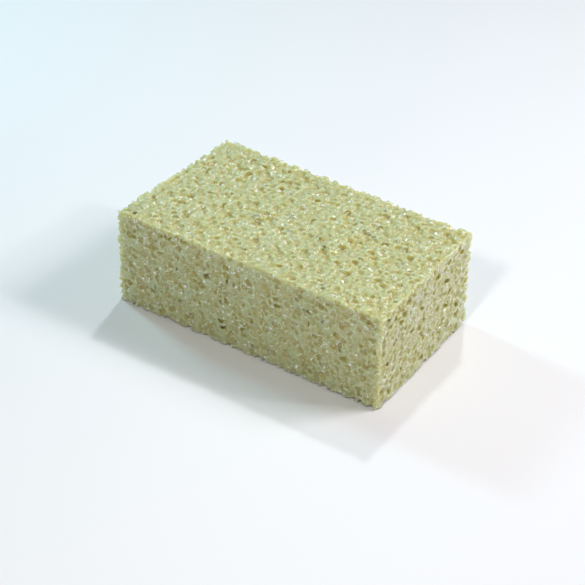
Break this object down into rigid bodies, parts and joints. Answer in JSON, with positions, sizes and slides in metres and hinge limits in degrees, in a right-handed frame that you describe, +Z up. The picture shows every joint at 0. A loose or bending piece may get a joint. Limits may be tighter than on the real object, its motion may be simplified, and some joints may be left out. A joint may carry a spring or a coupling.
{
  "type": "floral foam brick",
  "caption": "Rectangular brick of coarse open-cell foam that holds pushed-in flower stems, resting on its flat underside.",
  "frame": {"origin": "middle of the underside", "axes": "+X along the length, +Y from the front face to the back face, +Z up through the top face"},
  "size_m": [0.1999, 0.112, 0.07],
  "materials": {
    "foam": "translucent pale olive foam, open cells with glossy cell walls"
  },
  "bodies": {
    "root": {"foam_brick": "foam"}
  },
  "joints": []
}
